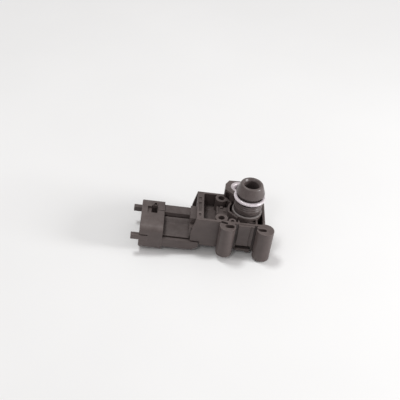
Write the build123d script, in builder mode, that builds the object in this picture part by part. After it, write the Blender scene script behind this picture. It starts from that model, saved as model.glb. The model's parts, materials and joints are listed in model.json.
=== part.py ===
from build123d import *
import os

# Manifold absolute pressure sensor, millimetres.
# Origin: axis of the pressure port, level with the top of the tray walls.
# +Z runs up the port, +X away from the plug socket, +Y towards the bolt lug.

# ---- driving dimensions -------------------------------------------------
half_width = 11.5
body_left = -25.4
body_right = 9.2
body_bottom = -16.5
wall = 1.2
web = 1.3
left_wall = 3.4
floor_top = -7.4
floor_under = -8.8
step_top = -3.2
rear_corner = 5.0

toe_x = -27.3
toe_z = -8.5
toe_top = -12.6
shoulder_x = -28.4

port_foot = 0.6
cylinder_r = 7.1
cylinder_top = 7.2
groove_top = 11.7
groove_r = 6.02
head_base_r = 7.25
head_mid_z = 12.5
head_tip_r = 5.75
head_edge_z = 16.75
head_tip_z = 17.2
port_bore_r = 3.75
stub_r = 5.0
stub_bottom = -8.2
glue_gap = 0.05
bead_r = 7.55
bead_height = 0.6
module_hole_r = 3.6

ring_cord_r = 1.0
ring_centre_r = 7.05
ring_z = 9.1

lug_x = -4.8
lug_y = 10.4
lug_top = 6.4
lug_bottom = -3.5
lug_left = -11.8
lug_plate = 1.3
tower_skin = 0.5
bush_r = 4.3
bush_bore_r = 2.6
boss_r = 5.6
counterbore_r = 4.8

eyelet_x = -13.0
eyelet_y = 8.0
eyelet_r = 3.1
eyelet_bore_r = 1.7
eyelet_depth = 6.2
small_boss_at = (-7.3, -8.7)
small_boss_r = 1.9
partition_r = 9.9
socket_tube_r = 7.7

post_y = -14.05
left_post_x = -9.7
left_post_r = 4.1
right_post_x = 9.3
right_post_r = 4.4
left_slot_at = (-8.7, -14.3)
right_slot_at = (7.8, -14.5)
post_bottom = -17.3
post_slot = 0.9
root_pocket_x = -11.5
root_pocket_y = -11.8

panel_left = -4.0
panel_right = 3.8
panel_front = -12.6
notch_top = -13.0

collar_mouth = -53.2
collar_end = -41.4
collar_half = 12.3
collar_top = -8.4
collar_bottom = -22.8
collar_corner = 3.2
collar_wall = 1.6
socket_end = -43.2
plug_mid_z = (collar_top + collar_bottom) / 2

prong_tip = -57.4
prong_root = -48.8
prong_inside = 10.2
prong_top = -13.9
prong_bottom = -16.6

rail_top = -14.9
rail_bottom = -19.9
rail_end = -22.9
rail_knee = -17.8
rail_proud = 0.4

neck_half = 9.6
line_width = 0.7
line_depth = 0.8
step_foot_y = 2.2
step_foot_z = -11.5

blade_pitch = 5.0
blade_width = 2.8
blade_thick = 0.8
blade_tip = -51.0
tail_pitch = 3.0
tail_width = 1.4
tail_z = -12.12
tail_end = -9.5

chamber_left = -12.0
chamber_right = 6.8
chamber_half = 9.1
bay_left = -20.0
bay_half = 6.0
bay_top = -12.3
cover_top = -15.0
cover_left = -22.0
cover_gap = 0.4

seal_bottom = -9.4
package_half = 4.3
package_bottom = -13.0
well_r = 3.5
well_floor = -12.0
lead_pitch = 2.4
lead_half = 0.4
lead_thick = 0.3
finger_x = -2.5
finger_pitch = 0.7
finger_half = 0.25

boss_at = (lug_x, lug_y)


def block(x0, x1, y0, y1, z0, z1):
    """A plain box between two corners, kept out of the open builder."""
    size = (x1 - x0, y1 - y0, z1 - z0)
    middle = ((x0 + x1) / 2, (y0 + y1) / 2, (z0 + z1) / 2)
    return Pos(*middle) * Box(*size, mode=Mode.PRIVATE)


def save(shape, label):
    """Name a finished piece and write its STEP file."""
    shape.label = label
    export_step(shape, "parts/" + label + ".step")


# ---- terminals: blade in the socket, step up, narrow tail under the tray ----
def make_terminal(name, index):
    blade_y = index * blade_pitch
    tail_y = index * tail_pitch
    ramp_start = -28.2
    ramp_end = ramp_start + (tail_z - plug_mid_z)
    jog_x = -21.5
    half = blade_thick / 2
    with BuildPart() as terminal:
        with BuildSketch(Plane.XZ.offset(-blade_y)):
            with BuildLine():
                Polyline(
                    (blade_tip, plug_mid_z - half + 0.25),
                    (blade_tip + 0.8, plug_mid_z - half),
                    (ramp_start + 0.4, plug_mid_z - half),
                    (ramp_end + 0.4, tail_z - half),
                    (jog_x + tail_width, tail_z - half),
                    (jog_x + tail_width, tail_z + half),
                    (ramp_end, tail_z + half),
                    (ramp_start, plug_mid_z + half),
                    (blade_tip + 0.8, plug_mid_z + half),
                    (blade_tip, plug_mid_z + half - 0.25),
                    close=True,
                )
            make_face()
        extrude(amount=blade_width / 2, both=True)
        low = min(blade_y - blade_width / 2, tail_y - tail_width / 2)
        high = max(blade_y + blade_width / 2, tail_y + tail_width / 2)
        add(block(jog_x, jog_x + tail_width, low, high, tail_z - half, tail_z + half))
        tail_low = tail_y - tail_width / 2
        tail_high = tail_y + tail_width / 2
        add(block(jog_x, tail_end, tail_low, tail_high, tail_z - half, tail_z + half))
    save(terminal.part, name)
    return terminal.part


os.makedirs("parts", exist_ok=True)

terminal_names = ("terminal_ground", "terminal_signal", "terminal_supply")
terminals = [make_terminal(name, i - 1) for i, name in enumerate(terminal_names)]


# ---- housing: tray, tower socket, lug, posts, neck and plug collar in one moulding ----
with BuildPart() as housing:
    # Body block.
    body_middle = ((body_left + body_right) / 2, 0)
    with BuildSketch(Plane.XY.offset(body_bottom)):
        with Locations(body_middle):
            Rectangle(body_right - body_left, 2 * half_width)
    extrude(amount=-body_bottom)
    corner_edge = housing.edges().filter_by(Axis.Z).group_by(Axis.X)[-1].sort_by(Axis.Y)[-1]
    fillet(corner_edge, rear_corner)

    # End webs: both side walls run on past the left end, leaning out towards the foot.
    for side in (-1, 1):
        with BuildSketch(Plane.XZ.offset(-side * half_width)):
            with BuildLine():
                Polyline(
                    (body_left + 1, 0),
                    (body_left, 0),
                    (toe_x, toe_z),
                    (toe_x, body_bottom),
                    (body_left + 1, body_bottom),
                    close=True,
                )
            make_face()
        extrude(amount=side * web)
    toe_half = half_width - 0.5
    add(block(toe_x, body_left + 0.5, -toe_half, toe_half, body_bottom, toe_top))

    # Open tray on top.
    tray_left = body_left + left_wall
    tray_right = body_right - wall
    tray_half = half_width - wall
    with BuildSketch(Plane.XY) as tray_outline:
        with Locations(((tray_left + tray_right) / 2, 0)):
            Rectangle(tray_right - tray_left, 2 * tray_half)
        fillet(tray_outline.vertices().group_by(Axis.X)[-1].sort_by(Axis.Y)[-1], rear_corner - wall)
        fillet(tray_outline.vertices().group_by(Axis.X)[0], 0.8)
    extrude(amount=floor_top, mode=Mode.SUBTRACT)

    # Socket tube that holds the port, and the bolt boss beside it.
    with BuildSketch(Plane.XY.offset(floor_top)):
        Circle(socket_tube_r)
    extrude(amount=port_foot - floor_top)
    with BuildSketch(Plane.XY.offset(body_bottom)):
        with Locations(boss_at):
            Circle(boss_r)
    extrude(amount=lug_bottom + 1.0 - body_bottom)
    with BuildSketch(Plane.XY.offset(lug_bottom)):
        with Locations(boss_at):
            Circle(bush_r + tower_skin)
    extrude(amount=lug_top - lug_bottom)

    # Lug: a thin octagonal plate joined to the tower, open underneath at the front.
    with BuildSketch(Plane.XY.offset(lug_top - lug_plate)):
        with BuildLine():
            Polyline(
                (lug_left, 12.1),
                (-9.9, 15.4),
                (0.3, 15.9),
                (2.2, 13.4),
                (2.2, 6.6),
                (-6.3, 2.7),
                (-10.3, 6.2),
                (lug_left, 8.2),
                close=True,
            )
        make_face()
    extrude(amount=lug_plate)
    # Rear half of the lug carries down the back wall as a solid pad.
    pad_front = half_width - wall
    with BuildSketch(Plane.XY.offset(lug_bottom)):
        with BuildLine():
            Polyline(
                (lug_left, pad_front),
                (lug_left, 12.1),
                (-9.9, 15.4),
                (0.3, 15.9),
                (2.2, 13.4),
                (2.2, pad_front),
                close=True,
            )
        make_face()
    extrude(amount=lug_top - lug_plate - lug_bottom)
    # Left cheek under the plate.
    with BuildSketch(Plane.XZ.offset(-pad_front)):
        with BuildLine():
            Polyline(
                (lug_left, -0.5),
                (lug_left + 0.7, -0.5),
                (lug_left + 1.2, lug_top - lug_plate),
                (lug_left, lug_top - lug_plate),
                close=True,
            )
        make_face()
    extrude(amount=pad_front - 9.2)

    # Eyelet bosses in the tray.
    for y in (-eyelet_y, eyelet_y):
        with BuildSketch(Plane.XY.offset(floor_top)):
            with Locations((eyelet_x, y)):
                Circle(eyelet_r)
        extrude(amount=-floor_top)

    # Raised step in the tray floor between the eyelets, with a small lip.
    add(block(-15.2, -9.0, -5.2, 4.6, floor_top, step_top))
    add(block(-15.2, -14.4, -2.0, 4.0, floor_top, step_top + 0.6))
    add(block(-13.4, -12.0, 3.0, 4.6, floor_top, step_top + 0.7))
    add(block(-11.6, -10.4, 0.6, 1.8, floor_top, step_top + 0.5))

    # Curved partition round the tower, with straight webs to the rear eyelet and the tower foot.
    with BuildSketch(Plane.XY.offset(floor_top)) as partition:
        Circle(partition_r)
        Circle(partition_r - 1.0, mode=Mode.SUBTRACT)
        with BuildLine():
            Polyline((0, 0), (-14.0, 9.0), (-14.0, -3.4), close=True)
        make_face(mode=Mode.INTERSECT)
    extrude(amount=-floor_top)
    with BuildSketch(Plane.XY.offset(floor_top)):
        with BuildLine():
            Polyline((-11.6, 9.7), (-7.4, 6.2), (-8.2, 5.3), (-12.3, 8.8), close=True)
        make_face()
        with BuildLine():
            Polyline((-9.6, -2.4), (-5.2, -6.8), (-4.6, -6.0), (-8.7, -1.9), close=True)
        make_face()
    extrude(amount=-floor_top)

    # Ribs, shelf and small boss between the tower and the front wall.
    tray_front = -tray_half
    for x0, x1, top in ((-4.4, -3.5, -1.8), (0.4, 1.3, -1.2), (4.4, 5.3, -0.3)):
        add(block(x0, x1, tray_front, -5.0, floor_top, top))
    add(block(-4.0, 1.0, tray_front, -9.2, floor_top, -4.6))
    add(block(1.3, 4.4, -8.6, -7.6, floor_top, -0.9))
    add(block(7.0, 8.4, -0.5, 0.5, floor_top, -0.3))
    with BuildSketch(Plane.XY.offset(floor_top)):
        with Locations(small_boss_at):
            Circle(small_boss_r)
    extrude(amount=-floor_top - 0.8)

    # Hollow clip posts on the front wall.
    for x, radius in ((left_post_x, left_post_r), (right_post_x, right_post_r)):
        with BuildSketch(Plane.XY.offset(post_bottom)):
            with Locations((x, post_y)):
                Circle(radius)
        extrude(amount=-post_bottom)
    # Root rib of the left post and the raised panel between the posts.
    add(block(-6.8, -5.4, panel_front, -half_width + 0.2, -16.0, -0.8))
    add(block(panel_left, panel_right, panel_front, -half_width + 0.2, notch_top, -0.4))

    # Neck between the body and the plug collar.
    neck_left = collar_end - 0.5
    neck_right = body_left - 0.5
    with BuildSketch(Plane.YZ.offset(neck_left)):
        with BuildLine():
            Polyline(
                (-neck_half, -14.4),
                (-5.0, -13.7),
                (-0.3, -13.4),
                (1.2, -12.1),
                (step_foot_y, step_foot_z),
                (step_foot_y, step_foot_z - line_depth),
                (step_foot_y + line_width, step_foot_z - line_depth),
                (step_foot_y + line_width, step_foot_z),
                (3.2, -9.5),
                (9.2, -9.5),
                (10.2, -10.5),
                (10.2, -13.1),
                (9.2, -13.3),
                (9.2, -13.7),
                (10.6, -13.8),
                (10.6, -14.2),
                (neck_half, -14.4),
                (neck_half, rail_top),
                (half_width, rail_top),
                (half_width, rail_bottom),
                (-half_width, rail_bottom),
                (-half_width, rail_top),
                (-neck_half, rail_top),
                close=True,
            )
        make_face()
    extrude(amount=neck_right - neck_left)
    # Side rails run on below the body, with a sloping end.
    for side in (-1, 1):
        with BuildSketch(Plane.XZ.offset(-side * (half_width + rail_proud))):
            with BuildLine():
                Polyline(
                    (neck_left, rail_top),
                    (rail_end, rail_top),
                    (rail_end, rail_knee),
                    (rail_end - 3.0, rail_bottom),
                    (neck_left, rail_bottom),
                    close=True,
                )
            make_face()
        extrude(amount=2.2 * side)
        foot_span = sorted((side * neck_half, side * (neck_half + line_width)))
        add(block(collar_end, toe_x, *foot_span, rail_top - line_depth, rail_top + 0.1), mode=Mode.SUBTRACT)
        groove_span = sorted((side * (half_width - 0.5), side * (half_width + 1)))
        add(block(toe_x - 0.1, rail_end, *groove_span, rail_top, rail_top + 0.7), mode=Mode.SUBTRACT)
        add(block(rail_end, rail_end + 0.6, *groove_span, rail_knee, rail_top + 0.7), mode=Mode.SUBTRACT)

    # Shoulder block and small ledges on the left end.
    inside_body = body_left + 0.5
    add(block(shoulder_x, inside_body, -7.4, 2.6, toe_top - 0.3, -3.0))
    add(block(shoulder_x + 0.8, inside_body, 4.6, 5.8, toe_top - 0.3, -6.0))
    add(block(shoulder_x, inside_body, -10.2, -7.0, toe_top - 0.3, -6.6))

    # Plug collar.
    with BuildSketch(Plane.YZ.offset(collar_mouth)):
        with Locations((0, plug_mid_z)):
            RectangleRounded(2 * collar_half, collar_top - collar_bottom, collar_corner)
    extrude(amount=collar_end - collar_mouth)
    chamfer(housing.edges().group_by(Axis.X)[0], 0.35)
    with BuildSketch(Plane.YZ.offset(collar_mouth)):
        with Locations((0, plug_mid_z)):
            inner_half = collar_half - collar_wall
            inner_height = collar_top - collar_bottom - 2 * collar_wall
            RectangleRounded(2 * inner_half, inner_height, collar_corner - collar_wall)
    extrude(amount=socket_end - collar_mouth, mode=Mode.SUBTRACT)
    # Coding ribs inside the socket.
    for y in (-7.5, 7.5):
        add(block(collar_mouth + 1.5, socket_end, y - 0.5, y + 0.5, collar_bottom + 1.5, -19.3))
    # Guide prongs on both sides of the mouth, with a line pressed above each.
    for side in (-1, 1):
        prong_edges = sorted((side * prong_inside, side * (collar_half + 0.3)))
        add(block(prong_tip, prong_root, *prong_edges, prong_bottom, prong_top))
        line_edges = sorted((side * (collar_half - 0.6), side * (collar_half + 1)))
        add(block(collar_mouth, prong_root, *line_edges, prong_top, prong_top + 0.5), mode=Mode.SUBTRACT)
    for side in (-1, 1):
        relief = sorted((side * (inner_half - 1.6), side * prong_inside))
        add(block(collar_mouth - 0.4, socket_end, *relief, prong_bottom, prong_top), mode=Mode.SUBTRACT)

    # Latch seat on top of the collar: shallow recess, through window, stop block and score line.
    add(block(-50.2, -44.8, 0.2, 5.4, collar_top - 1.2, collar_top + 1), mode=Mode.SUBTRACT)
    add(block(-48.2, -45.2, 1.2, 6.2, collar_top - 2.5, collar_top + 1), mode=Mode.SUBTRACT)
    add(block(-47.7, -45.0, 6.4, 9.2, collar_top - 0.5, collar_top + 0.45))
    add(block(-47.0, -45.6, 6.4, 8.0, collar_top - 0.6, collar_top + 1), mode=Mode.SUBTRACT)
    add(block(-45.1, collar_end + 1, 2.6, 3.0, collar_top - 0.4, collar_top + 1), mode=Mode.SUBTRACT)

    # Core-outs under the neck.
    for x in (-38.0, -31.6):
        for y in (-5.6, 0.0, 5.6):
            with BuildSketch(Plane.XY.offset(rail_bottom)):
                with Locations((x, y)):
                    RectangleRounded(5.0, 4.4, 0.8)
            extrude(amount=2.0, mode=Mode.SUBTRACT)

    # Bores: port socket, eyelets, small boss, lug bush, counterbore and posts.
    with BuildSketch(Plane.XY.offset(port_foot)):
        Circle(stub_r + glue_gap)
    extrude(amount=stub_bottom - port_foot, mode=Mode.SUBTRACT)
    with BuildSketch(Plane.XY.offset(stub_bottom)):
        Circle(module_hole_r)
    extrude(amount=floor_under - stub_bottom, mode=Mode.SUBTRACT)
    # Room for the port's cylinder and its bead beside the lug and the boss.
    with BuildSketch(Plane.XY.offset(port_foot)):
        Circle(cylinder_r + glue_gap)
    extrude(amount=lug_top - port_foot, mode=Mode.SUBTRACT)
    with BuildSketch(Plane.XY.offset(port_foot)):
        Circle(bead_r)
    extrude(amount=bead_height, mode=Mode.SUBTRACT)
    for y in (-eyelet_y, eyelet_y):
        with BuildSketch(Plane.XY):
            with Locations((eyelet_x, y)):
                Circle(eyelet_bore_r)
        extrude(amount=-eyelet_depth, mode=Mode.SUBTRACT)
    with BuildSketch(Plane.XY):
        with Locations(small_boss_at):
            Circle(small_boss_r - 0.9)
    extrude(amount=-4.0, mode=Mode.SUBTRACT)
    with BuildSketch(Plane.XY.offset(lug_top)):
        with Locations(boss_at):
            Circle(bush_r)
    extrude(amount=lug_bottom - lug_top, mode=Mode.SUBTRACT)
    with BuildSketch(Plane.XY.offset(lug_bottom)):
        with Locations(boss_at):
            Circle(counterbore_r)
    extrude(amount=body_bottom - lug_bottom, mode=Mode.SUBTRACT)
    for place, length, width in ((left_slot_at, 4.8, 2.6), (right_slot_at, 4.2, 2.2)):
        with BuildSketch(Plane.XY):
            with Locations(place):
                SlotOverall(length, width)
        extrude(amount=post_bottom, mode=Mode.SUBTRACT)
    # The right post is split down its left side; the left post has a pocket at its root.
    slot_plane = Plane(origin=(*right_slot_at, 0), x_dir=(-0.94, 0.34, 0), z_dir=(0, 0, 1))
    with BuildSketch(slot_plane):
        with Locations((3.1, 0.1)):
            Rectangle(6.2, post_slot)
    extrude(amount=post_bottom, mode=Mode.SUBTRACT)
    with BuildSketch(Plane.XY):
        with Locations((root_pocket_x, root_pocket_y)):
            SlotOverall(3.8, 1.6, rotation=-15)
    extrude(amount=-10.0, mode=Mode.SUBTRACT)

    # Sensor chamber, terminal bay and cover rebate, opened from below.
    with BuildSketch(Plane.XY.offset(floor_under)):
        with Locations(((chamber_left + chamber_right) / 2, 0)):
            Rectangle(chamber_right - chamber_left, 2 * chamber_half)
        with Locations(boss_at):
            Circle(boss_r + 0.4, mode=Mode.SUBTRACT)
    extrude(amount=cover_top - floor_under, mode=Mode.SUBTRACT)
    add(block(bay_left, chamber_left, -bay_half, bay_half, cover_top, bay_top), mode=Mode.SUBTRACT)
    with BuildSketch(Plane.XY.offset(cover_top)):
        with Locations(((cover_left + tray_right) / 2, 0)):
            RectangleRounded(tray_right - cover_left, 2 * tray_half, 1.0)
        with Locations(boss_at):
            Circle(boss_r + 0.4, mode=Mode.SUBTRACT)
    extrude(amount=body_bottom - cover_top, mode=Mode.SUBTRACT)
    # Notch in the front wall that lets the cover tab through.
    notch_back = -half_width + 1.0
    add(block(panel_left, panel_right, panel_front, notch_back, -15.1, notch_top), mode=Mode.SUBTRACT)
    add(block(panel_left, panel_right, panel_front, -tray_half + 0.2, body_bottom, -15.1), mode=Mode.SUBTRACT)

    # Ejector marks on the tray floor.
    for y in (-6.0, 6.0):
        with BuildSketch(Plane.XY.offset(floor_top)):
            with Locations((-19.2, y)):
                Circle(1.2)
        extrude(amount=-0.2, mode=Mode.SUBTRACT)
    # Top of the left wall: shallow pocket and two pips.
    add(block(-24.5, -23.2, -8.6, 6.8, -0.5, 1), mode=Mode.SUBTRACT)
    for y in (-5.6, 3.4):
        add(block(-24.7, -23.0, y - 0.9, y + 0.9, -1, 0.0))

    for piece in terminals:
        add(piece, mode=Mode.SUBTRACT)
save(housing.part, "housing")


# ---- pressure port: stub, foot flange, cylinder, ring groove and tapered head ----
with BuildPart() as pressure_port:
    with BuildSketch(Plane.XZ):
        with BuildLine():
            Polyline(
                (port_bore_r, stub_bottom),
                (stub_r, stub_bottom),
                (stub_r, port_foot),
                (cylinder_r, port_foot),
                (cylinder_r, 4.3),
                (cylinder_r - 0.2, 4.45),
                (cylinder_r - 0.2, 4.75),
                (cylinder_r, 4.9),
                (cylinder_r, 5.5),
                (cylinder_r - 0.25, 5.7),
                (cylinder_r - 0.25, 6.1),
                (cylinder_r, 6.3),
                (cylinder_r, cylinder_top - 0.4),
                (cylinder_r - 0.4, cylinder_top),
                (groove_r, cylinder_top),
                (groove_r, groove_top),
                (head_base_r - 0.2, groove_top),
                (head_base_r, groove_top + 0.2),
                (head_base_r, head_mid_z),
                (head_tip_r, head_edge_z),
                (head_tip_r - 0.35, head_edge_z + 0.35),
                (port_bore_r + 0.6, head_tip_z),
                (port_bore_r, head_tip_z - 0.6),
                close=True,
            )
        make_face()
    revolve(axis=Axis.Z)
save(pressure_port.part, "pressure_port")

# ---- port sealing ring ----
with BuildPart() as port_ring:
    with BuildSketch(Plane.XZ):
        with Locations((ring_centre_r, ring_z)):
            Circle(ring_cord_r)
    revolve(axis=Axis.Z)
save(port_ring.part, "port_o_ring")

# ---- steel bush that carries the bolt load through the lug ----
with BuildPart() as bush:
    with BuildSketch(Plane.XY.offset(lug_bottom)):
        with Locations(boss_at):
            Circle(bush_r)
            Circle(bush_bore_r, mode=Mode.SUBTRACT)
    extrude(amount=lug_top + 0.1 - lug_bottom)
    bore_rims = bush.edges().filter_by(GeomType.CIRCLE).group_by(SortBy.RADIUS)[0]
    chamfer(bore_rims, 0.35)
save(bush.part, "mounting_bush")

# ---- bead of adhesive round the port foot ----
with BuildPart() as port_bead:
    with BuildSketch(Plane.XZ):
        with BuildLine():
            Polyline(
                (cylinder_r, port_foot),
                (bead_r, port_foot),
                (bead_r - 0.05, port_foot + bead_height / 2),
                (cylinder_r, port_foot + bead_height),
                close=True,
            )
        make_face()
    revolve(axis=Axis.Z)
    # The bush stands in its way on the lug side.
    add(bush.part, mode=Mode.SUBTRACT)
save(port_bead.part, "port_adhesive_bead")

# ---- bottom cover with a prying tab and shallow ribs ----
cover_outline_x = ((cover_left + tray_right) / 2, 0)
with BuildPart() as cover:
    with BuildSketch(Plane.XY.offset(cover_top)):
        with Locations(cover_outline_x):
            RectangleRounded(
                tray_right - cover_left - 2 * cover_gap,
                2 * tray_half - 2 * cover_gap,
                0.8,
            )
        with Locations(boss_at):
            Circle(boss_r + 0.4 + cover_gap, mode=Mode.SUBTRACT)
    extrude(amount=body_bottom - cover_top)
    tab_left = panel_left + 0.3
    tab_right = panel_right - 0.3
    add(block(tab_left, tab_right, panel_front + 0.1, -tray_half + 1, body_bottom + 0.1, -15.2))
    add(block(tab_right - 2.3, tab_right, panel_front + 0.1, panel_front + 0.9, body_bottom - 0.6, -16.0))
    for y in (-5.0, 0.0):
        add(block(-19.0, 4.0, y - 0.4, y + 0.4, body_bottom - 0.5, body_bottom))
    with BuildSketch(Plane.XY.offset(body_bottom - 0.5)):
        with Locations((-15.0, 6.2)):
            Circle(2.2)
            Circle(1.6, mode=Mode.SUBTRACT)
    extrude(amount=0.5)
save(cover.part, "bottom_cover")

# ---- sealant between the cover's edge and the housing ----
with BuildPart() as sealant:
    with BuildSketch(Plane.XY.offset(body_bottom + 0.1)):
        with Locations(cover_outline_x):
            RectangleRounded(tray_right - cover_left, 2 * tray_half, 1.0)
        with Locations(boss_at):
            Circle(boss_r + 0.4, mode=Mode.SUBTRACT)
    extrude(amount=cover_top - body_bottom - 0.1)
    add(cover.part, mode=Mode.SUBTRACT)
    add(housing.part, mode=Mode.SUBTRACT)
save(sealant.part, "cover_sealant")

# ---- sensor module under the port: seal, moulded package, leads ----
with BuildPart() as module_seal:
    with BuildSketch(Plane.XY.offset(seal_bottom)):
        RectangleRounded(2 * package_half - 0.3, 2 * package_half - 0.3, 1.0)
        Circle(well_r, mode=Mode.SUBTRACT)
    extrude(amount=floor_under - seal_bottom)
save(module_seal.part, "module_seal")


def make_lead(name, index):
    """A flat lead that rests on its terminal tail and ends in a finger in the well."""
    y = index * lead_pitch
    low = tail_z + blade_thick / 2
    high = low + lead_thick
    finger_low = min(y - lead_half, index * finger_pitch - finger_half)
    finger_high = max(y + lead_half, index * finger_pitch + finger_half)
    with BuildPart() as lead:
        add(block(-11.2, finger_x + 0.4, y - lead_half, y + lead_half, low, high))
        add(block(finger_x - 0.4, finger_x + 0.4, finger_low, finger_high, low, high))
    save(lead.part, name)
    return lead.part


lead_names = ("module_lead_ground", "module_lead_signal", "module_lead_supply")
leads = [make_lead(name, i - 1) for i, name in enumerate(lead_names)]

with BuildPart() as package:
    with BuildSketch(Plane.XY.offset(package_bottom)):
        RectangleRounded(2 * package_half, 2 * package_half, 0.6)
    extrude(amount=seal_bottom - package_bottom)
    with BuildSketch(Plane.XY.offset(well_floor)):
        Circle(well_r)
    extrude(amount=seal_bottom - well_floor, mode=Mode.SUBTRACT)
    for piece in leads:
        add(piece, mode=Mode.SUBTRACT)
save(package.part, "sensor_package")

# ---- die stack in the package well ----
pedestal_top = well_floor + 0.9
with BuildPart() as pedestal:
    add(block(-1.1, 1.1, -1.1, 1.1, well_floor, pedestal_top))
save(pedestal.part, "glass_pedestal")

with BuildPart() as die:
    add(block(-0.9, 0.9, -0.9, 0.9, pedestal_top, pedestal_top + 0.4))
save(die.part, "pressure_die")

asic_top = well_floor + 0.4
with BuildPart() as asic:
    add(block(1.5, 2.9, -1.2, 1.2, well_floor, asic_top))
save(asic.part, "signal_die")

# ---- ribbon bonds between the dies and the leads ----
die_top = pedestal_top + 0.4
lead_top = tail_z + blade_thick / 2 + lead_thick
with BuildPart() as bonds:
    for y in (-0.6, -0.2, 0.2, 0.6):
        with BuildSketch(Plane.XZ.offset(-y)):
            with BuildLine():
                Polyline(
                    (0.6, die_top),
                    (0.6, die_top + 0.25),
                    (1.9, die_top + 0.25),
                    (1.9, asic_top),
                    (1.8, asic_top),
                    (1.8, die_top + 0.15),
                    (0.7, die_top + 0.15),
                    (0.7, die_top),
                    close=True,
                )
            make_face()
        extrude(amount=0.06, both=True)
    for index in (-1, 0, 1):
        far = finger_x + 0.1
        near = -0.7
        with BuildSketch(Plane.XZ.offset(-index * finger_pitch)):
            with BuildLine():
                Polyline(
                    (far, lead_top),
                    (far, die_top + 0.25),
                    (near, die_top + 0.25),
                    (near, die_top),
                    (near - 0.1, die_top),
                    (near - 0.1, die_top + 0.15),
                    (far + 0.1, die_top + 0.15),
                    (far + 0.1, lead_top),
                    close=True,
                )
            make_face()
        extrude(amount=0.06, both=True)
save(bonds.part, "bond_ribbons")

# ---- soft gel that covers the dies ----
gel_top = die_top + 0.5
with BuildPart() as gel:
    with BuildSketch(Plane.XY.offset(well_floor)):
        Circle(well_r)
    extrude(amount=gel_top - well_floor)
    for piece in (pedestal.part, die.part, asic.part, bonds.part, *leads):
        add(piece, mode=Mode.SUBTRACT)
save(gel.part, "protective_gel")

# ---- interference capacitors across the terminal tails ----
tail_under = tail_z - blade_thick / 2
for name, x, y in (("capacitor_signal", -14.6, -1.5), ("capacitor_supply", -17.4, 1.5)):
    with BuildPart() as capacitor:
        add(block(x - 0.8, x + 0.8, y - 1.6, y + 1.6, tail_under - 1.2, tail_under))
        fillet(capacitor.edges().filter_by(Axis.X), 0.15)
    save(capacitor.part, name)
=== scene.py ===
"""Looks of the manifold pressure sensor: finer pieces, materials, floor, light and camera. Metres."""

import json
import math

import bmesh
import bpy
from mathutils import Matrix, Vector


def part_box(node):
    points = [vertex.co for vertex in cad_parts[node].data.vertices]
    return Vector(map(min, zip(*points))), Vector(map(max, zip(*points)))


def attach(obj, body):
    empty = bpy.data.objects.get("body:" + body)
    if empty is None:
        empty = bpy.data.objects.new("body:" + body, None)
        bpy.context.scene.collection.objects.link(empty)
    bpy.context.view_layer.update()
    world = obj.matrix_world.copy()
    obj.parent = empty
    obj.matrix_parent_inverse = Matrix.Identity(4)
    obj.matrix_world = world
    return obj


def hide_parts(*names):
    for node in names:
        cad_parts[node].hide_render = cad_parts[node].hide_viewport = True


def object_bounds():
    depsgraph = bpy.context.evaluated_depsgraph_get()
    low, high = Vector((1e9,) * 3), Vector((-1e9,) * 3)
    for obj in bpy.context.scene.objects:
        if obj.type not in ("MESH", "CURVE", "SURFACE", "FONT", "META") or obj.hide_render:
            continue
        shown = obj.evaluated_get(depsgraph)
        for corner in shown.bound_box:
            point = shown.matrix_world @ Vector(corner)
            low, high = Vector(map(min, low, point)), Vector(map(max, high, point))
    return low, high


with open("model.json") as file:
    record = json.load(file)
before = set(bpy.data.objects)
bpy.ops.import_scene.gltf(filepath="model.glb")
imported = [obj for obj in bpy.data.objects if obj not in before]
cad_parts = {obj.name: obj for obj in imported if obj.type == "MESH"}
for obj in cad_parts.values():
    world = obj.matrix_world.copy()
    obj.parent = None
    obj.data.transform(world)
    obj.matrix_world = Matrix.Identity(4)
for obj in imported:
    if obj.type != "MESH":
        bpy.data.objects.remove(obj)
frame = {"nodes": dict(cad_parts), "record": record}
nodes = frame["nodes"]
cad_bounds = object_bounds()

MM = 0.001
BODY = "root"

# Camera and resting attitude.
AZIMUTH = math.radians(4.23)
ELEVATION = math.radians(37.4)
ROLL = math.radians(9.2)
LENS_MM = 78.3
SENSOR_MM = 36.0
DISTANCE = 454.2 * MM
AIM = Vector((-23.7, 10.8, -5.0)) * MM

# The part rests on the back of its collar, its rear corner and the right post.
FOOT_COLLAR = Vector((-41.4, 9.1, -22.8)) * MM
FOOT_CORNER = Vector((8.7, 8.67, -16.5)) * MM
FOOT_POST = Vector((13.16, -11.95, -17.3)) * MM

HOUSING_COLOUR = (0.094, 0.073, 0.069, 1.0)
PORT_COLOUR = (0.103, 0.083, 0.080, 1.0)
# Pale film for up-facing faces: dust, and partly painted top light.
DUST_AND_TOP_LIGHT_COLOUR = (0.30, 0.275, 0.26, 1)
RING_COLOUR = (0.67, 0.61, 0.64, 1)
LINT_COLOUR = (0.25, 0.22, 0.23, 1)
PAPER_COLOURS = ((0.83, 0.83, 0.83, 1), (0.86, 0.86, 0.86, 1))
ROOM_COLOUR = (1.0, 0.965, 0.955, 1)
ROOM_STRENGTH = 0.45
FLOOR_SIZE = 4.0


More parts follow.
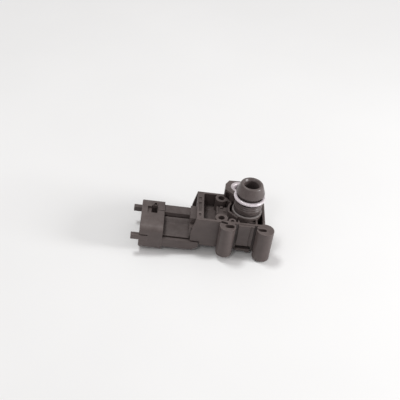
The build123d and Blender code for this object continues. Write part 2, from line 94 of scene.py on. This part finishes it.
# ---------------------------------------------------------------- node helpers
class Shader:
    """A material under construction, with short names for the nodes it needs."""

    def __init__(self, name):
        self.material = bpy.data.materials.new(name)
        self.material.use_nodes = True
        self.tree = self.material.node_tree
        self.surface = self.tree.nodes["Principled BSDF"]
        self.place = self.add("ShaderNodeTexCoord").outputs["Object"]

    def add(self, kind, **settings):
        node = self.tree.nodes.new(kind)
        for key, value in settings.items():
            setattr(node, key, value)
        return node

    def link(self, source, target):
        self.tree.links.new(source, target)

    def set(self, **values):
        for key, value in values.items():
            self.surface.inputs[key.replace("_", " ")].default_value = value

    def noise(self, size, detail=3.0, stretch=(1, 1, 1), roughness=0.5):
        """Noise whose blobs are about `size` metres across."""
        mapping = self.add("ShaderNodeMapping")
        mapping.inputs["Scale"].default_value = stretch
        self.link(self.place, mapping.inputs["Vector"])
        node = self.add("ShaderNodeTexNoise")
        node.inputs["Scale"].default_value = 1.0 / size
        node.inputs["Detail"].default_value = detail
        node.inputs["Roughness"].default_value = roughness
        self.link(mapping.outputs["Vector"], node.inputs["Vector"])
        return node.outputs["Fac"]

    def span(self, value, low, high, out_low=0.0, out_high=1.0):
        node = self.add("ShaderNodeMapRange")
        node.inputs["From Min"].default_value = low
        node.inputs["From Max"].default_value = high
        node.inputs["To Min"].default_value = out_low
        node.inputs["To Max"].default_value = out_high
        self.link(value, node.inputs["Value"])
        return node.outputs["Result"]

    def math(self, operation, a, b):
        node = self.add("ShaderNodeMath", operation=operation)
        for socket, value in zip(node.inputs, (a, b)):
            if isinstance(value, (int, float)):
                socket.default_value = value
            else:
                self.link(value, socket)
        return node.outputs["Value"]

    def blend(self, factor, low, high):
        """Colour from `low` to `high` by factor. Either may be a colour or a socket."""
        node = self.add("ShaderNodeMix", data_type="RGBA")
        self.link(factor, node.inputs["Factor"])
        for name, value in (("A", low), ("B", high)):
            socket = [s for s in node.inputs if s.name == name and s.type == "RGBA"][0]
            if isinstance(value, tuple):
                socket.default_value = value
            else:
                self.link(value, socket)
        return [s for s in node.outputs if s.type == "RGBA"][0]

    def edge_mask(self, radius):
        """1 near outward or inward edges, 0 on flat faces."""
        rounded = self.add("ShaderNodeBevel", samples=6)
        rounded.inputs["Radius"].default_value = radius
        true = self.add("ShaderNodeNewGeometry")
        dot = self.add("ShaderNodeVectorMath", operation="DOT_PRODUCT")
        self.link(rounded.outputs["Normal"], dot.inputs[0])
        self.link(true.outputs["Normal"], dot.inputs[1])
        return self.span(dot.outputs["Value"], 0.995, 0.9)

    def recess_shade_mask(self, recess_shade_reach):
        """Mask for painted shade: 1 deep in corners and slots, 0 on open faces."""
        node = self.add("ShaderNodeAmbientOcclusion", samples=8)
        node.inputs["Distance"].default_value = recess_shade_reach
        return self.span(node.outputs["AO"], 0.8, 0.25)

    def bump(self, height, depth, under=None):
        node = self.add("ShaderNodeBump")
        node.inputs["Strength"].default_value = 1.0
        node.inputs["Distance"].default_value = depth
        self.link(height, node.inputs["Height"])
        if under is not None:
            self.link(under, node.inputs["Normal"])
        return node.outputs["Normal"]

    def rounded_normal(self, radius):
        node = self.add("ShaderNodeBevel", samples=8)
        node.inputs["Radius"].default_value = radius
        return node.outputs["Normal"]

    def up(self):
        """How far a face looks up, 0 to 1."""
        geometry = self.add("ShaderNodeNewGeometry")
        parts = self.add("ShaderNodeSeparateXYZ")
        self.link(geometry.outputs["Normal"], parts.inputs["Vector"])
        return self.span(parts.outputs["Z"], 0.2, 0.95)


def tint(colour, factor):
    return tuple(min(1.0, c * factor) for c in colour[:3]) + (1.0,)


# ---------------------------------------------------------------- materials
def moulded_plastic(name, colour, rough=0.44, depth=0.012 * MM, edge=0.3 * MM, recess_shade_reach=1.8 * MM, recess_shade_strength=0.6):
    """Glass-filled moulding: fine grain, flow streaks, pale fibre flecks, lighter edges from rubbed wear and
    a painted highlight, a film of dust that also paints up-facing faces lighter, and painted shade in
    recesses.
    """
    s = Shader(name)
    patches = s.span(s.noise(7 * MM, 4), 0.35, 0.7)
    streaks = s.span(s.noise(1.6 * MM, 3, stretch=(0.25, 1, 1)), 0.4, 0.7)
    flecks = s.span(s.noise(0.35 * MM, 2, stretch=(0.45, 1, 1)), 0.66, 0.8)
    base = s.blend(patches, tint(colour, 0.9), tint(colour, 1.1))
    base = s.blend(s.math("MULTIPLY", streaks, 0.35), base, tint(colour, 0.78))
    base = s.blend(s.math("MULTIPLY", flecks, 0.35), base, tint(colour, 1.9))
    # Up-facing faces lightened: a thin film of dust, and partly painted light falling on the tops.
    dust_and_top_light = s.math("MULTIPLY", s.up(), s.span(s.noise(2.5 * MM, 5, roughness=0.65), 0.35, 0.75, 0.0, 0.16))
    base = s.blend(dust_and_top_light, base, DUST_AND_TOP_LIGHT_COLOUR)
    # Lighter edges: partly rubbed wear, partly a painted edge highlight.
    edge_lightening = s.math("MULTIPLY", s.edge_mask(0.35 * MM), s.span(s.noise(1.2 * MM, 4), 0.35, 0.7, 0.2, 0.8))
    base = s.blend(edge_lightening, base, tint(colour, 2.2))
    # Painted shade: corners, slots and bores are darkened towards a dark copy of the colour, standing in for
    # the shade that falls there.
    base = s.blend(s.math("MULTIPLY", s.recess_shade_mask(recess_shade_reach), recess_shade_strength), base, tint(colour, 0.3))
    s.link(base, s.surface.inputs["Base Color"])
    gloss = s.span(s.noise(3 * MM, 4), 0.3, 0.7, rough - 0.08, rough + 0.1)
    s.link(gloss, s.surface.inputs["Roughness"])
    skin = s.bump(s.noise(4 * MM, 2), 0.05 * MM, s.rounded_normal(edge))
    s.link(s.bump(s.noise(0.25 * MM, 3), depth, skin), s.surface.inputs["Normal"])
    s.set(Specular_IOR_Level=0.4)
    return s.material


def ring_rubber():
    """Pale lilac silicone, oiled, with fine specks of lint and a satin moulded skin."""
    s = Shader("ring_rubber")
    mottle = s.span(s.noise(1.5 * MM, 4), 0.3, 0.7)
    base = s.blend(mottle, tint(RING_COLOUR, 0.82), tint(RING_COLOUR, 1.12))
    lint = s.span(s.noise(0.3 * MM, 3), 0.68, 0.76)
    base = s.blend(s.math("MULTIPLY", lint, 0.6), base, LINT_COLOUR)
    s.link(base, s.surface.inputs["Base Color"])
    s.link(s.span(s.noise(1.0 * MM, 3), 0.3, 0.7, 0.18, 0.38), s.surface.inputs["Roughness"])
    skin = s.bump(s.noise(0.9 * MM, 3), 0.16 * MM)
    s.link(skin, s.surface.inputs["Normal"])
    s.link(skin, s.surface.inputs["Coat Normal"])
    s.set(Coat_Weight=1.0, Coat_Roughness=0.12, Subsurface_Weight=0.08)
    s.surface.inputs["Subsurface Radius"].default_value = (0.001, 0.0008, 0.0009)
    return s.material


def metal(name, colour, rough, stretch=(1, 1, 0.1), metallic=1.0):
    """Worked metal with fine drawn lines, patchy tarnish and softened edges."""
    s = Shader(name)
    tarnish = s.span(s.noise(1.8 * MM, 4), 0.35, 0.75)
    base = s.blend(tarnish, colour, tint(colour, 0.72))
    edge_lightening = s.math("MULTIPLY", s.edge_mask(0.15 * MM), 0.5)
    base = s.blend(edge_lightening, base, tint(colour, 1.2))
    s.link(base, s.surface.inputs["Base Color"])
    s.link(s.span(s.noise(0.8 * MM, 3), 0.3, 0.7, rough - 0.07, rough + 0.12), s.surface.inputs["Roughness"])
    lines = s.noise(0.4 * MM, 2, stretch=stretch)
    s.link(s.bump(lines, 0.006 * MM, s.rounded_normal(0.1 * MM)), s.surface.inputs["Normal"])
    s.set(Metallic=metallic)
    return s.material


def cured_resin(name, colour, rough):
    """Dispensed bead: uneven skin, small bubbles and colour drift."""
    s = Shader(name)
    base = s.blend(s.span(s.noise(1.2 * MM, 4), 0.3, 0.7), tint(colour, 0.8), tint(colour, 1.25))
    s.link(base, s.surface.inputs["Base Color"])
    s.link(s.span(s.noise(0.7 * MM, 3), 0.3, 0.7, rough - 0.06, rough + 0.1), s.surface.inputs["Roughness"])
    s.link(s.bump(s.noise(0.5 * MM, 3), 0.04 * MM), s.surface.inputs["Normal"])
    s.set(Coat_Weight=0.3, Coat_Roughness=0.2)
    return s.material


def hard_gloss(name, colour, rough, alpha=1.0):
    """Small polished or ceramic parts with faint mottling."""
    s = Shader(name)
    base = s.blend(s.span(s.noise(0.5 * MM, 3), 0.3, 0.7), tint(colour, 0.88), tint(colour, 1.12))
    s.link(base, s.surface.inputs["Base Color"])
    s.link(s.span(s.noise(0.4 * MM, 3), 0.3, 0.7, rough, rough + 0.12), s.surface.inputs["Roughness"])
    s.link(s.bump(s.noise(0.2 * MM, 2), 0.004 * MM, s.rounded_normal(0.05 * MM)), s.surface.inputs["Normal"])
    s.set(Alpha=alpha)
    return s.material


def backdrop_paper():
    """Plain pale sweep with a barely visible tooth."""
    s = Shader("backdrop_paper")
    base = s.blend(s.span(s.noise(120 * MM, 3), 0.3, 0.7), *PAPER_COLOURS)
    s.link(base, s.surface.inputs["Base Color"])
    s.link(s.bump(s.noise(1.0 * MM, 3), 0.01 * MM), s.surface.inputs["Normal"])
    s.set(Roughness=0.8)
    return s.material


def materials():
    return {
        "housing_plastic": moulded_plastic("housing_plastic", HOUSING_COLOUR),
        # The port's bore and groove get painted shade with a longer reach and greater strength.
        "port_plastic": moulded_plastic(
            "port_plastic", PORT_COLOUR, rough=0.29, depth=0.006 * MM, edge=0.12 * MM, recess_shade_reach=5 * MM, recess_shade_strength=0.8
        ),
        "cover_plastic": moulded_plastic("cover_plastic", tint(HOUSING_COLOUR, 0.9), rough=0.5),
        "adhesive": cured_resin("adhesive", (0.19, 0.17, 0.165, 1), 0.22),
        "sealant": cured_resin("sealant", (0.05, 0.05, 0.055, 1), 0.4),
        "ring_rubber": ring_rubber(),
        "bush_steel": metal("bush_steel", (0.66, 0.60, 0.62, 1), 0.42, metallic=0.4),
        "terminal_tin": metal("terminal_tin", (0.72, 0.71, 0.68, 1), 0.28, stretch=(0.1, 1, 1)),
        "lead_frame": metal("lead_frame", (0.72, 0.45, 0.30, 1), 0.3, stretch=(0.1, 1, 1)),
        "package_plastic": hard_gloss("package_plastic", (0.03, 0.03, 0.03, 1), 0.3),
        "pedestal_glass": hard_gloss("pedestal_glass", (0.75, 0.82, 0.78, 1), 0.05, alpha=0.6),
        "silicon": metal("silicon", (0.33, 0.35, 0.40, 1), 0.12),
        "bond_aluminium": metal("bond_aluminium", (0.85, 0.85, 0.86, 1), 0.3),
        "gel": hard_gloss("gel", (0.72, 0.75, 0.78, 1), 0.08, alpha=0.35),
        "capacitor_ceramic": hard_gloss("capacitor_ceramic", (0.45, 0.33, 0.22, 1), 0.35),
    }


# ---------------------------------------------------------------- pieces
def lathe(name, profile, steps=160):
    """Turns a closed profile of (radius, height) points about the frame's Z."""
    mesh = bmesh.new()
    rings = []
    for i in range(steps):
        angle = 2 * math.pi * i / steps
        c, s = math.cos(angle), math.sin(angle)
        rings.append([mesh.verts.new((r * c, r * s, z)) for r, z in profile])
    count = len(profile)
    for i in range(steps):
        here, there = rings[i], rings[(i + 1) % steps]
        for j in range(count):
            k = (j + 1) % count
            mesh.faces.new((here[j], there[j], there[k], here[k]))
    bmesh.ops.recalc_face_normals(mesh, faces=mesh.faces)
    data = bpy.data.meshes.new(name)
    mesh.to_mesh(data)
    mesh.free()
    piece = bpy.data.objects.new(name, data)
    bpy.context.scene.collection.objects.link(piece)
    for face in data.polygons:
        face.use_smooth = True
    return piece


def rounded(corners, steps=4):
    """Replaces each corner (r, z, radius) of a closed profile by an arc of about that radius."""
    out = []
    total = len(corners)
    for i, (x, y, radius) in enumerate(corners):
        here = Vector((x, y))
        before = Vector(corners[i - 1][:2]) - here
        after = Vector(corners[(i + 1) % total][:2]) - here
        cut = min(radius, before.length * 0.45, after.length * 0.45)
        if cut <= 0:
            out.append((x, y))
            continue
        start = here + before.normalized() * cut
        end = here + after.normalized() * cut
        for j in range(steps + 1):
            t = j / steps
            point = start * (1 - t) ** 2 + here * 2 * t * (1 - t) + end * t ** 2
            out.append((point.x, point.y))
    return out


def shallow_groove(radius, low, high, depth, slope, corner):
    """Corners of a groove that runs round a cylinder, with sloping sides."""
    floor = radius - depth
    return [
        (radius, low, 1.5 * corner), (floor, low + slope, corner),
        (floor, high - slope, corner), (radius, high, 1.5 * corner),
    ]


def make_port(material):
    """The port with rounded lips, in place of the plain turned node."""
    low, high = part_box("pressure_port")
    head = (high.x - low.x) / 2
    cylinder = head - 0.15 * MM
    tip = head - 1.5 * MM
    bore = 3.75 * MM
    stub = 5.0 * MM
    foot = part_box("port_adhesive_bead")[0].z
    groove_low = 7.2 * MM
    groove_high = 11.7 * MM
    groove = 6.02 * MM
    lip = 0.12 * MM
    corners = [
        (bore, low.z, 0), (stub, low.z, 0.2 * MM), (stub, foot, 0), (cylinder, foot, 0),
        *shallow_groove(cylinder, 4.3 * MM, 4.9 * MM, depth=0.2 * MM, slope=0.15 * MM, corner=0.08 * MM),
        *shallow_groove(cylinder, 5.5 * MM, 6.3 * MM, depth=0.25 * MM, slope=0.22 * MM, corner=0.1 * MM),
        (cylinder, groove_low, 0.45 * MM), (groove, groove_low, 0.15 * MM), (groove, groove_high, 0.15 * MM),
        (head, groove_high, 0.3 * MM), (head, 12.5 * MM, 0.4 * MM), (tip, high.z - 0.4 * MM, 0.35 * MM),
        (tip - 0.45 * MM, high.z, 0.2 * MM), (bore + 0.75 * MM, high.z, lip), (bore, high.z - 1.1 * MM, lip),
    ]
    piece = lathe("port_detailed", rounded(corners))
    piece.data.materials.append(material)
    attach(piece, BODY)
    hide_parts("pressure_port")


def make_ring(material):
    """The sealing ring with its faint mould flash, in place of the plain torus."""
    low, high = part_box("port_o_ring")
    cord = (high.z - low.z) / 2
    middle = (high.z + low.z) / 2
    centre = (high.x - low.x) / 2 - cord
    flash = 0.035 * MM
    steps = 40
    profile = []
    for i in range(steps):
        a = 2 * math.pi * i / steps
        radius = cord if i == 0 else cord - flash
        profile.append((centre + radius * math.cos(a), middle + radius * math.sin(a)))
    piece = lathe("ring_detailed", profile, steps=200)
    piece.data.materials.append(material)
    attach(piece, BODY)
    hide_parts("port_o_ring")


def dress_nodes(table):
    """Gives each CAD node the finish of its slot."""
    slots = {row["node"]: row["material_slot"] for row in frame["record"]["subparts"]}
    for name, node in nodes.items():
        node.data.materials.clear()
        node.data.materials.append(table[slots[name]])
        for face in node.data.polygons:
            face.material_index = 0


# ---------------------------------------------------------------- stage
def resting_axes():
    """Up and two level directions of the surface that the part rests on."""
    up = (FOOT_CORNER - FOOT_COLLAR).cross(FOOT_POST - FOOT_COLLAR).normalized()
    if up.z < 0:
        up.negate()
    across = Vector((1, 0, 0))
    across = (across - up * across.dot(up)).normalized()
    return up, across, up.cross(across)


def make_floor():
    up, across, away = resting_axes()
    bpy.ops.mesh.primitive_grid_add(x_subdivisions=8, y_subdivisions=8, size=FLOOR_SIZE)
    floor = bpy.context.object
    floor.name = "floor"
    basis = Matrix((across, away, up)).transposed().to_4x4()
    basis.translation = FOOT_COLLAR
    floor.matrix_world = basis
    floor.data.materials.append(backdrop_paper())


def add_area(name, direction, distance, size, power, colour=(1, 1, 1)):
    """A round lamp aimed at the part. The direction is across, away and up from the floor."""
    up, across, away = resting_axes()
    target = (Vector(cad_bounds[0]) + Vector(cad_bounds[1])) / 2
    offset = across * direction[0] + away * direction[1] + up * direction[2]
    light = bpy.data.lights.new(name, "AREA")
    light.shape = "DISK"
    light.size = size
    light.energy = power
    light.color = colour
    lamp = bpy.data.objects.new(name, light)
    bpy.context.scene.collection.objects.link(lamp)
    lamp.location = target + offset.normalized() * distance
    lamp.rotation_euler = (target - lamp.location).to_track_quat("-Z", "Y").to_euler()


def make_lights():
    world = bpy.data.worlds.new("studio")
    world.use_nodes = True
    background = world.node_tree.nodes["Background"]
    background.inputs["Color"].default_value = ROOM_COLOUR
    background.inputs["Strength"].default_value = ROOM_STRENGTH
    bpy.context.scene.world = world
    add_area("key", (-0.20, 0.22, 1.0), distance=0.8, size=0.2, power=2.5, colour=(0.985, 1, 1))
    add_area("side", (1.3, -0.25, 0.42), distance=0.7, size=0.22, power=3.5)
    add_area("glint", (-0.30, -0.75, 1.0), distance=0.8, size=0.14, power=0.6)


def make_camera():
    forward = Vector((
        math.sin(AZIMUTH) * math.cos(ELEVATION),
        math.cos(AZIMUTH) * math.cos(ELEVATION),
        -math.sin(ELEVATION),
    ))
    level = Vector((math.cos(AZIMUTH), -math.sin(AZIMUTH), 0))
    lift = level.cross(forward)
    right = level * math.cos(ROLL) + lift * math.sin(ROLL)
    up = lift * math.cos(ROLL) - level * math.sin(ROLL)
    data = bpy.data.cameras.new("camera")
    data.lens = LENS_MM
    data.sensor_width = SENSOR_MM
    data.clip_start = 0.01
    data.clip_end = 20
    camera = bpy.data.objects.new("camera", data)
    bpy.context.scene.collection.objects.link(camera)
    basis = Matrix((right, up, -forward)).transposed().to_4x4()
    basis.translation = AIM - forward * DISTANCE
    camera.matrix_world = basis
    bpy.context.scene.camera = camera


table = materials()
dress_nodes(table)
make_port(table["port_plastic"])
make_ring(table["ring_rubber"])
make_floor()
make_lights()
make_camera()
bpy.context.scene.view_settings.view_transform = "Standard"
